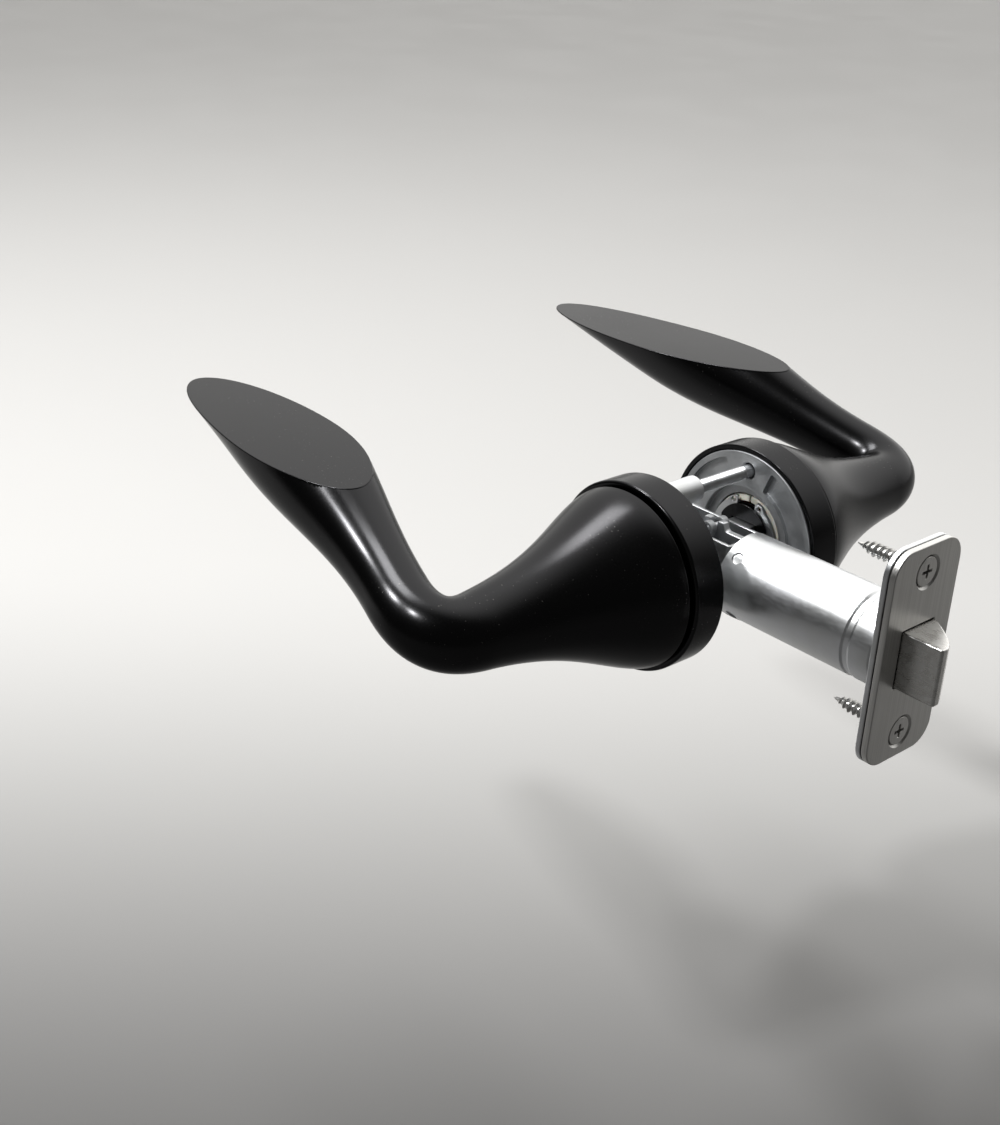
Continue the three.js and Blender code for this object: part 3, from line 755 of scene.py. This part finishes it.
finger_share = math.degrees(math.asin(FINGER_HALF / DRIVER_RADIUS))
disc = arc(DRIVER_RADIUS, finger_share, 360 - finger_share, 90)
disc += [(FINGER_TIP, -FINGER_HALF, 0.5), (FINGER_TIP, FINGER_HALF, 0.5)]
flat_share = math.degrees(math.acos(FLAT_HALF / BORE_RADIUS))
keyed = arc(BORE_RADIUS, flat_share, 180 - flat_share, 24)
keyed += arc(BORE_RADIUS, 180 + flat_share, 360 - flat_share, 24)
spin_key = math.radians(-FINGER_ANGLE)
keyed = [
    (x * math.cos(spin_key) - y * math.sin(spin_key), x * math.sin(spin_key) + y * math.cos(spin_key))
    for x, y in keyed
]
pilots = [ring(1.1, arc(12.8, angle, angle, 1)[0], 24) for angle in (75, 285)]
driver = stamped("driver", [rounded(disc, 0, steps=3), keyed, *pilots], 6.8, 7.9, PLATED_STEEL)
finger_shape = [(17.3, -FINGER_HALF), (17.3, FINGER_HALF)]
finger_shape += [(FINGER_TIP, FINGER_HALF), (FINGER_TIP, -FINGER_HALF)]
finger = stamped("finger", [rounded(finger_shape, 0.35)], 3.4, 7.75, PLATED_STEEL, 0.25)
joined(driver, finger)
place(driver, round_spindle(FINGER_ANGLE) @ FACE_OUT)
fit_pair(driver, "driver", "levers_and_spindle")

CLIP_GAP = 3.0
CLIP_RADIUS = 8.2
gap_share = math.degrees(math.asin(CLIP_GAP / CLIP_RADIUS))
ear = [(CLIP_GAP, 7.63, 0.3), (CLIP_GAP, 10.95, 0.8), (5.7, 9.75, 0.8)]
clip = arc(CLIP_RADIUS, 90 - gap_share, gap_share - 270, 60)
clip = clip[1:-1] + [(-x, y, bend) for x, y, bend in ear]
clip += arc(11.0, 126, 414, 60, (0, -0.4)) + ear[::-1]
eyes = [ring(0.75, (side * 4.5, 9.1), 20) for side in (-1, 1)]
circlip = stamped("circlip", [rounded(clip, 0, steps=3), *eyes], 0.8, 1.7, PLATED_STEEL, 0.12)
place(circlip, FACE_OUT)
fit_pair(circlip, "circlip", "levers_and_spindle")

# ---- Return springs ----
# A torsion spring of just over one turn lies round each boss. One leg rests on a peg, the driver's
# finger pushes the other, and it brings the lever back level.


def spring_finish():
    """Oiled spring wire: dark, with streaks from the drawing die."""
    finish, wire = new_finish("spring_wire")
    oil = wire.speckle(260.0, 3.0)
    streak = wire.speckle(2200.0, 2.0)
    sockets = {"Base Color": oil.spread().blend((0.16, 0.16, 0.17), (0.27, 0.27, 0.28))}
    sockets["Roughness"] = oil.spread(0.22, 0.34) + streak.spread(0.0, 0.06)
    sockets["Metallic"] = 1.0
    close_finish(wire, sockets, streak, 0.1, 0.00003)
    return finish


COIL_SIZES = {
    "Coil Radius": 1.0, "Wire Radius": 0.1, "Turns": 1.0, "Length": 1.0, "Start Angle": 0.0,
    "Leg": 0.0, "Leg Share": 0.0, "Dead Share": 0.0, "Dead Rise": 0.0, "Tip Start": 1.0,
    "Tip Drop": 0.0, "Fade Share": 0.0,
}


def coil_tree():
    """Winds wire round the Z axis. Legs run out straight, dead turns lie close, and a tip narrows."""
    tree = bpy.data.node_groups.new("coil", "GeometryNodeTree")
    for name, value in COIL_SIZES.items():
        socket = tree.interface.new_socket(name, in_out="INPUT", socket_type="NodeSocketFloat")
        socket.default_value = value
    for name in ("Steps", "Sides"):
        tree.interface.new_socket(name, in_out="INPUT", socket_type="NodeSocketInt")
    tree.interface.new_socket("Finish", in_out="INPUT", socket_type="NodeSocketMaterial")
    tree.interface.new_socket("Geometry", in_out="OUTPUT", socket_type="NodeSocketGeometry")
    given = tree.nodes.new("NodeGroupInput")
    size = {socket.name: Wire(tree, socket) for socket in given.outputs if socket.name}
    start = Wire(tree)
    line = start.make("GeometryNodeCurvePrimitiveLine")
    line = start.make("GeometryNodeResampleCurve", {}, {"Curve": line, "Count": size["Steps"]})
    t = start.make("GeometryNodeSplineParameter")
    share = size["Leg Share"]
    turn = (t - share).reckon("DIVIDE", t - share, 1 - 2 * share, clamp=True)
    outside = (share - t).reckon("MAXIMUM", share - t, t - 1 + share)
    outside = outside.reckon("DIVIDE", outside, share, clamp=True)
    angle = size["Start Angle"] + turn * size["Turns"] * (2 * math.pi)
    tip = turn.reckon("DIVIDE", turn - size["Tip Start"], 1 - size["Tip Start"], clamp=True)
    radius = size["Coil Radius"] + size["Leg"] * outside - size["Tip Drop"] * tip
    dead, rise = size["Dead Share"], size["Dead Rise"]
    advance = turn.reckon("DIVIDE", turn - dead, 1 - 2 * dead, clamp=True)
    first = turn.reckon("DIVIDE", turn, dead, clamp=True)
    last = turn.reckon("DIVIDE", turn - 1 + dead, dead, clamp=True)
    along = advance * (size["Length"] - 2 * rise) + (first + last) * rise
    spot = start.make("ShaderNodeCombineXYZ", {}, {
        "X": radius * angle.reckon("COSINE", angle), "Y": radius * angle.reckon("SINE", angle), "Z": along,
    })
    path = start.make("GeometryNodeSetPosition", {}, {"Geometry": line, "Position": spot})
    path = start.make("GeometryNodeSetCurveNormal", {"mode": "Z_UP"}, {"Curve": path})
    near_end = t.reckon("MINIMUM", t, 1 - t)
    faded = 1 - near_end.reckon("DIVIDE", size["Fade Share"] - near_end, size["Fade Share"], clamp=True)
    section = start.make("GeometryNodeCurvePrimitiveCircle", {}, {
        "Resolution": size["Sides"], "Radius": size["Wire Radius"],
    })
    swept = start.make("GeometryNodeCurveToMesh", {}, {
        "Curve": path, "Profile Curve": section, "Scale": faded, "Fill Caps": True,
    })
    solid = start.make("GeometryNodeRealizeInstances", {}, {"Geometry": swept})
    done = start.make("GeometryNodeSetMaterial", {}, {"Geometry": solid, "Material": size["Finish"]})
    start.make("NodeGroupOutput", {}, {"Geometry": done})
    return tree


COIL = coil_tree()


def wound(name, finish, sizes, steps, sides=12):
    """A coil of wire along +Z from the origin, with its sizes in metres."""
    coil = mesh_piece(name, [], [], finish)
    winder = coil.modifiers.new("coil", "NODES")
    winder.node_group = COIL
    given = dict(COIL_SIZES, **sizes, Steps=steps, Sides=sides, Finish=finish)
    for socket in COIL.interface.items_tree:
        if socket.in_out == "INPUT":
            winder[socket.identifier] = given[socket.name]
    return settle(coil)


SPRING_WIRE = spring_finish()
RETURN_RADIUS = 15.0
RETURN_WIRE = 0.55
held_leg = PEG_ANGLES[0] - 6.5
pushed_leg = FINGER_ANGLE + 8 + 360
return_spring = wound("return_spring", SPRING_WIRE, {
    "Coil Radius": RETURN_RADIUS * MM, "Wire Radius": RETURN_WIRE * MM, "Length": 2 * MM,
    "Turns": (pushed_leg - held_leg) / 360, "Start Angle": math.radians(held_leg),
    "Leg": 3.9 * MM, "Leg Share": 0.06,
}, 200)
place(return_spring, Matrix.Translation((0, -4 * MM, 0)) @ FACE_OUT)
fit_pair(return_spring, "return_spring", "door_fixings")

# ---- Grub screws ----
# A black-oiled socket screw in the underside of each neck bites on the spindle and holds the lever.

DOWN = FACE_OUT


def threaded(screw, outer, depth, pitch, start, end, finish, tip_start=1.0, tip_drop=0.0):
    """Winds a thread on a turned screw, between two distances out, in millimetres."""
    turns = abs(end - start) / pitch
    ridge = wound("ridge", finish, {
        "Coil Radius": (outer - depth) * MM, "Wire Radius": depth * MM, "Turns": turns,
        "Length": (end - start) * MM, "Tip Start": tip_start, "Tip Drop": tip_drop * MM,
        "Fade Share": 0.5 / turns,
    }, int(turns * 28), 4)
    place(ridge, FACE_OUT, (0, -start, 0))
    return gathered(screw, ridge)


def wedge(outline, foot, low, high):
    """A cutter from an outline at high to the outline shrunk by foot at low, both in distance out."""
    count = len(outline)
    points = [(x * MM * foot, -low * MM, z * MM * foot) for x, z in outline]
    points += [(x * MM, -high * MM, z * MM) for x, z in outline]
    faces = [(i, (i + 1) % count, count + (i + 1) % count, count + i) for i in range(count)]
    faces += [tuple(range(count)), tuple(range(count, 2 * count))]
    cutter = mesh_piece("wedge", points, faces, PLATED_STEEL)
    faced_out(cutter.data)
    return cutter


def cross_recess(end, depth, half, arm):
    """A cutter for a cross recess in the end of a screw."""
    plus = [(half, arm), (arm, arm), (arm, half), (-arm, half), (-arm, arm), (-half, arm)]
    plus += [(-x, -y) for x, y in plus]
    return wedge(plus, 0.42, end - depth, end + 0.4)


grub_from, grub_to = 4.3, 12.3
grub = turned("grub_screw", [
    (0, grub_from + 0.5), (0.9, grub_from + 0.1, 0.1), (1.3, grub_from, 0.1), (2.1, grub_from + 0.8, 0.1),
    (2.1, grub_to - 0.5, 0.1), (1.7, grub_to, 0.1), (0, grub_to),
], SPRING_WIRE, 0.1, 40)
hexagon = arc(1.45, 0, 300, 6)
cut_away(grub, wedge(hexagon, 0.97, grub_to - 3, grub_to + 0.5))
threaded(grub, 2.45, 0.42, 0.8, grub_from + 0.9, grub_to - 0.7, SPRING_WIRE)
place(grub, DOWN, (0, -GRUB_OUT, 0))
fit_pair(grub, "grub_screw", "levers_and_spindle")

# ---- Spindle ----
# One square bar of drawn steel joins both levers through the latch. Its ends are chamfered, and it has
# a dimple under each grub screw.

spindle_low, spindle_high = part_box("spindle")
half = spindle_high.x / MM
middle = (spindle_low.y + spindle_high.y) / 2 / MM
reach = (spindle_high.y - spindle_low.y) / 2 / MM
square = [(-half, -half), (half, -half), (half, half), (-half, half)]
spindle = stamped("spindle_bar", [rounded(square, 0.45)], -reach, reach, PLATED_STEEL, 0.7)
place(spindle, FACE_OUT, (0, middle, 0))
dimples = []
for y in (-GRUB_OUT, DOOR / MM + GRUB_OUT):
    dimple = turned("dimple", [(0, half - 0.8), (1.5, half + 0.2), (0, half + 0.2)], PLATED_STEEL, 0, 32)
    dimples.append(place(dimple, DOWN, (0, y, 0)))
cut_away(spindle, *dimples)
fit(spindle, "spindle", "levers_and_spindle")

# ---- Posts and bolts ----
# Two posts swaged into the outside plate are tapped at the far end. Two countersunk bolts from the
# inside plate draw the set together through the door.

for spot, z in (("upper", FIXING_Z), ("lower", -FIXING_Z)):
    post = turned(f"{spot}_post", [
        (0, 1.6), (1.1, 1.7, 0.1), (1.6, 2.7, 0.3), (2.5, 2.7, 0.4), (2.5, -0.3, 0.1), (3.6, -0.3, 0.3),
        (3.6, -1.6, 0.05), (3.35, -1.8, 0.05), (3.35, -2.4, 0.05), (3.6, -2.6, 0.05), (3.6, -14, 0.45),
        (2.5, -14, 0.1), (2.1, -13.5, 0.05), (2.1, -2, 0.05), (0, -1.2),
    ], PLATED_STEEL, sides=64)
    place(post, shift=(0, 0, z))
    fit(post, f"outside_{spot}_post", "door_fixings")
    bolt = turned(f"{spot}_through_bolt", [
        (0, -29), (1.1, -29, 0.1), (1.5, -28.4, 0.1), (1.5, -2.6, 0.1), (1.8, -2.3, 0.1), (1.8, 1, 0.1),
        (3.55, 2.6, 0.12), (3.3, 2.8, 0.2), (0, 2.8),
    ], PLATED_STEEL, sides=48)
    cut_away(bolt, cross_recess(2.8, 1.6, 1.9, 0.42))
    threaded(bolt, 1.9, 0.36, 0.7, -28.6, -2.6, PLATED_STEEL)
    place(bolt, shift=(0, 0, z))
    fit(far_side(bolt, f"{spot}_bolt_inside"), f"{spot}_bolt", "door_fixings")
    scrap(bolt)

# ---- Latch plates and screws ----
# The faceplate is satin stainless and lies flush in the door's edge over a plain steel backplate. Two
# countersunk wood screws go through both.


def satin_finish():
    """Satin stainless, brushed along its height."""
    finish, wire = new_finish("satin_stainless")
    brush = wire.speckle(2600.0, 3.0, (1.0, 1.0, 0.012))
    haze = wire.speckle(50.0, 3.0)
    sockets = {"Base Color": brush.spread().blend((0.46, 0.455, 0.44), (0.56, 0.555, 0.54))}
    sockets["Roughness"] = brush.spread(0.28, 0.40) + haze.spread(0.0, 0.05)
    sockets["Metallic"] = 1.0
    close_finish(wire, sockets, brush, 0.22, 0.00003)
    return finish


SATIN_STAINLESS = satin_finish()
ACROSS = Matrix(((0, 0, 1, 0), (1, 0, 0, 0), (0, 1, 0, 0), (0, 0, 0, 1)))
TO_EDGE = Matrix.Rotation(math.radians(90), 4, "Z")
LATCH_Y = DOOR / MM / 2
SCREW_Z = 21.5
face_low, face_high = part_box("latch_faceplate")
face_from, face_to = face_low.x / MM, face_high.x / MM
face_half = ((face_high.y - face_low.y) / 2 / MM, face_high.z / MM)
back_from, back_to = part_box("latch_backplate")[0].x / MM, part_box("latch_backplate")[1].x / MM


def oblong(half_width, half_height, radius, steps=8):
    corners = [(-half_width, -half_height), (half_width, -half_height)]
    corners += [(half_width, half_height), (-half_width, half_height)]
    return rounded(corners, radius, steps=steps)


def latch_plate(name, low, high, hole, finish, edge):
    outlines = [oblong(*face_half, 6.3, 16), oblong(6.3, 7.8, 0.5, 4)]
    outlines += [ring(hole, (0, z), 40) for z in (-SCREW_Z, SCREW_Z)]
    return place(stamped(name, outlines, low, high, finish, edge), ACROSS, (0, LATCH_Y, 0))


faceplate = latch_plate("faceplate", face_from, face_to, 2.9, SATIN_STAINLESS, 0.3)
sinks = []
for z in (-SCREW_Z, SCREW_Z):
    sink = turned("sink", [
        (0, face_from + 0.3), (2.9, face_from + 0.3), (4.75, face_to + 0.2), (0, face_to + 0.2),
    ], SATIN_STAINLESS, 0, 64)
    sinks.append(place(sink, TO_EDGE, (0, LATCH_Y, z)))
cut_away(faceplate, *sinks)
fit(faceplate, "latch_faceplate", "door_fixings")
backplate = latch_plate("backplate", back_from, back_to, 2.4, PLATED_STEEL, 0.25)
fit(backplate, "latch_backplate", "door_fixings")

for spot, z in (("upper", SCREW_Z), ("lower", -SCREW_Z)):
    head = face_to - 0.15
    screw = turned(f"{spot}_latch_screw", [
        (0, head - 20), (0.35, head - 19.4, 0.1), (1.25, head - 15.5, 0.3), (1.3, head - 5.5, 0.1),
        (1.6, head - 5, 0.1), (1.7, head - 2.5, 0.2), (3.8, head - 0.35, 0.15), (3.7, head - 0.05, 0.2),
        (0, head),
    ], SATIN_STAINLESS, sides=48)
    cut_away(screw, cross_recess(head, 1.9, 2.1, 0.45))
    threaded(screw, 1.9, 0.5, 1.6, head - 5.6, head - 19.2, SATIN_STAINLESS, 0.7, 1.15)
    place(screw, TO_EDGE, (0, LATCH_Y, z))
    fit(screw, f"latch_{spot}_screw", "door_fixings")

# ---- Latch case, frame and spring ----
# The case is a rolled steel tube with a butt seam, turned in at the front round the bolt. The frame is a
# folded steel box behind it that carries the follower, and a stop plate lies between them.

CASE_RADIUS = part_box("latch_case")[1].z / MM
CASE_INNER = CASE_RADIUS - 0.8
case_from, case_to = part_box("latch_case")[0].x / MM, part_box("latch_case")[1].x / MM
case = turned("case_tube", [
    (0, case_to - 1.2), (CASE_INNER, case_to - 1.2, 0.5), (CASE_INNER, case_from, 0.2),
    (CASE_RADIUS, case_from, 0.3), (CASE_RADIUS, 57, 0.3), (CASE_RADIUS - 0.35, 57.6, 0.5),
    (CASE_RADIUS - 0.35, 59, 0.5), (CASE_RADIUS, 59.6, 0.3), (CASE_RADIUS, case_to, 1.3), (0, case_to),
], PLATED_STEEL, sides=128)
mouth = stamped("mouth", [oblong(6.3, 7.8, 0.8, 4)], case_to - 3, case_to + 1, PLATED_STEEL, 0.01)
place(mouth, ACROSS)
seam_depth = (0.3 - CASE_RADIUS) * MM
seam = bar(((case_from - 1) * MM, -0.12 * MM, -12 * MM), ((case_to + 1) * MM, 0.12 * MM, seam_depth))
place(case, TO_EDGE)
crimps = []
for angle in (45, 135, 225, 315):
    crimp = turned("crimp", [(0, 9), (1.6, 9), (1.9, 12), (0, 12)], PLATED_STEEL, 0.3, 24)
    spin = Matrix.Rotation(math.radians(angle), 4, "X")
    crimps.append(place(crimp, Matrix.Translation(spin @ Vector((20.6 * MM, -1.9 * MM, 0))) @ spin))
cut_away(case, mouth, seam, *crimps)
place(case, shift=(0, LATCH_Y, 0))
fit(case, "latch_case", "door_fixings")

FRAME_HALF = 6.6
FRAME_HEIGHT = 9.2
RIVET_PLACES = ((-10.3, 6), (-10.3, -6), (12.6, -6))
frame_from, frame_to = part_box("latch_frame")[0].x / MM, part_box("latch_frame")[1].x / MM


def upright(low_x, high_x, half_y, radius):
    return rounded([(low_x, -half_y), (high_x, -half_y), (high_x, half_y), (low_x, half_y)], radius, steps=6)


latch_frame = stamped("latch_box", [
    upright(frame_from, frame_to, FRAME_HALF, 1.5),
    upright(frame_from + 1, frame_to - 1.2, FRAME_HALF - 1, 0.5),
], -FRAME_HEIGHT, FRAME_HEIGHT, PLATED_STEEL)
tail_slot = bar((10 * MM, -1.5 * MM, 6.4 * MM), (20 * MM, 1.5 * MM, 20 * MM))
bearing = drill(6.9 * MM, (0, -10 * MM, 0), (0, 10 * MM, 0), sides=96)
rivets = [drill(1.1 * MM, (x * MM, -10 * MM, z * MM), (x * MM, 10 * MM, z * MM), sides=32)
          for x, z in RIVET_PLACES]
cut_away(latch_frame, tail_slot, bearing, *rivets)
place(latch_frame, shift=(0, LATCH_Y, 0))
fit(latch_frame, "latch_frame", "door_fixings")

stop_from, stop_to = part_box("latch_spring_stop")[0].x / MM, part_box("latch_spring_stop")[1].x / MM
stop_radius = CASE_INNER - 0.3
slot_share = math.degrees(math.asin(1.5 / stop_radius))
stop_shape = arc(stop_radius, 90 + slot_share, 450 - slot_share, 80) + [(1.5, 6.4, 0.3), (-1.5, 6.4, 0.3)]
stop_outlines = [rounded(stop_shape, 0), ring(2.2, steps=32)]
spring_stop = stamped("spring_stop", stop_outlines, stop_from, stop_to, PLATED_STEEL)
place(spring_stop, ACROSS, (0, LATCH_Y, 0))
fit(spring_stop, "latch_spring_stop", "door_fixings")

LATCH_WIRE = 0.5
spring_low, spring_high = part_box("latch_spring")
spring_length = (spring_high.x - spring_low.x) / MM - 2 * LATCH_WIRE
latch_spring = wound("compression_spring", SPRING_WIRE, {
    "Coil Radius": 5.2 * MM, "Wire Radius": LATCH_WIRE * MM, "Turns": 10.0,
    "Length": spring_length * MM,
    "Dead Share": 0.11, "Dead Rise": 2 * LATCH_WIRE * MM * 1.05,
}, 420)
place(latch_spring, ACROSS, (spring_low.x / MM + LATCH_WIRE, LATCH_Y, 0))
fit(latch_spring, "latch_spring", "door_fixings")

# ---- Bolt and tail ----
# The bolt is a nickel-plated casting: a piston that slides in the case and a nose with one sloping
# side. A flat steel tail over the spring draws it back.


def nickel_finish():
    """Satin nickel plate over a tumbled casting."""
    finish, wire = new_finish("satin_nickel")
    tumble = wire.speckle(420.0, 4.0)
    rubbed = wire.speckle(2400.0, 2.0, (0.06, 1.0, 1.0))
    sockets = {"Base Color": tumble.spread().blend((0.55, 0.54, 0.52), (0.64, 0.635, 0.62))}
    sockets["Roughness"] = tumble.spread(0.20, 0.30) + rubbed.spread(0.0, 0.08)
    sockets["Metallic"] = 1.0
    close_finish(wire, sockets, rubbed, 0.12, 0.00004)
    return finish


SATIN_NICKEL = nickel_finish()
bolt_low, bolt_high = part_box("latch_bolt")
piston_from, nose_to = bolt_low.x / MM, bolt_high.x / MM
piston_to = piston_from + 6
piston_radius = CASE_INNER - 0.4
slope_from = face_to + 1
nose_half, nose_height = 6.0, 7.5
slope = [
    (piston_to - 2, -nose_half, 0), (nose_to, -nose_half, 0.7), (nose_to, -nose_half + 2, 0.6),
]
start, hold = Vector((nose_to, -nose_half + 2)), Vector((nose_to - 1, 0))
end = Vector((slope_from, nose_half))
for t in np.linspace(0.12, 1, 12):
    spot = start.lerp(hold, t).lerp(hold.lerp(end, t), t)
    slope.append((spot.x, spot.y, 0))
slope.append((piston_to - 2, nose_half, 0))
latch_bolt = stamped("latch_tongue", [rounded(slope, 0)], -nose_height, nose_height, SATIN_NICKEL, 0.45)
piston = turned("piston", [
    (0, piston_from), (piston_radius, piston_from, 0.5), (piston_radius, piston_from + 2.2, 0.1),
    (piston_radius - 0.5, piston_from + 2.4, 0.1), (piston_radius - 0.5, piston_from + 3.6, 0.1),
    (piston_radius, piston_from + 3.8, 0.1), (piston_radius, piston_to, 0.5), (0, piston_to),
], SATIN_NICKEL, sides=96)
joined(latch_bolt, place(piston, TO_EDGE))
cut_away(latch_bolt, bar(((piston_from - 1) * MM, -1.3 * MM, 6.6 * MM), (piston_to * MM, 1.3 * MM, 20 * MM)))
place(latch_bolt, shift=(0, LATCH_Y, 0))
fit(latch_bolt, "latch_bolt", "bolt_and_tail")

ARM_REACH = 11.0
ARM_ANGLE = math.radians(30)
pin_x = ARM_REACH * math.sin(ARM_ANGLE)
tail_low, tail_end = 6.9, piston_to - 0.3
tail_shape = [
    (pin_x - 3.4, tail_low, 0.6), (tail_end, tail_low, 0.3), (tail_end, 9.5, 0.3), (pin_x + 4.4, 9.5, 1.0),
    (pin_x + 3.4, 11.6, 0.6), (pin_x + 1.3, 11.6, 0.5), (pin_x + 1.3, 8.2, 0.5), (pin_x - 1.3, 8.2, 0.5),
    (pin_x - 1.3, 11.6, 0.5), (pin_x - 3.4, 11.6, 0.6),
]
tail = stamped("tail_strap", [rounded(tail_shape, 0.3)], -1, 1, PLATED_STEEL, 0.2)
place(tail, FACE_OUT, (0, LATCH_Y, 0))
fit(tail, "latch_tail", "bolt_and_tail")

# ---- Follower ----
# The follower is a zinc hub with the spindle's square hole. A pin between its two arms lies in the
# notch of the tail.

HUB_RADIUS = 6.6
HUB_HALF = 6.9
follower = turned("follower_hub", [
    (0, -HUB_HALF), (HUB_RADIUS, -HUB_HALF, 0.5), (HUB_RADIUS, HUB_HALF, 0.5), (0, HUB_HALF),
], BARE_ZINC)
arm_end = arc(2, 180, 0, 13, (0, ARM_REACH))
arm_shape = [(-3, 0), (-2, ARM_REACH)] + arm_end[1:-1] + [(2, ARM_REACH), (3, 0)]
lean = Matrix.Rotation(ARM_ANGLE, 4, "Y")
arms = [
    place(stamped("arm", [arm_shape], low, high, BARE_ZINC, 0.3), lean @ FACE_OUT)
    for low, high in ((-3.5, -1.5), (1.5, 3.5))
]
joined(follower, *arms)
hole = SOCKET_HALF * MM
square_hole = bar((-hole, -10 * MM, -hole), (hole, 10 * MM, hole))
pin_hole = drill(1.2 * MM, (0, -5 * MM, ARM_REACH * MM), (0, 5 * MM, ARM_REACH * MM))
tail_room = bar((-12 * MM, -1.4 * MM, (HUB_RADIUS - 0.2) * MM), (12 * MM, 1.4 * MM, 20 * MM))
cut_away(follower, square_hole, place(pin_hole, lean), place(tail_room, lean))
place(follower, shift=(0, LATCH_Y, 0))
fit(follower, "latch_follower", "levers_and_spindle")

pin_shape = [(0, -3.4), (0.9, -3.4, 0.25), (0.9, 3.4, 0.25), (0, 3.4)]
pin = turned("follower_pin", pin_shape, PLATED_STEEL, sides=32)
place(pin, lean @ Matrix.Translation((0, 0, ARM_REACH * MM)), (0, LATCH_Y, 0))
fit(pin, "latch_follower_pin", "levers_and_spindle")
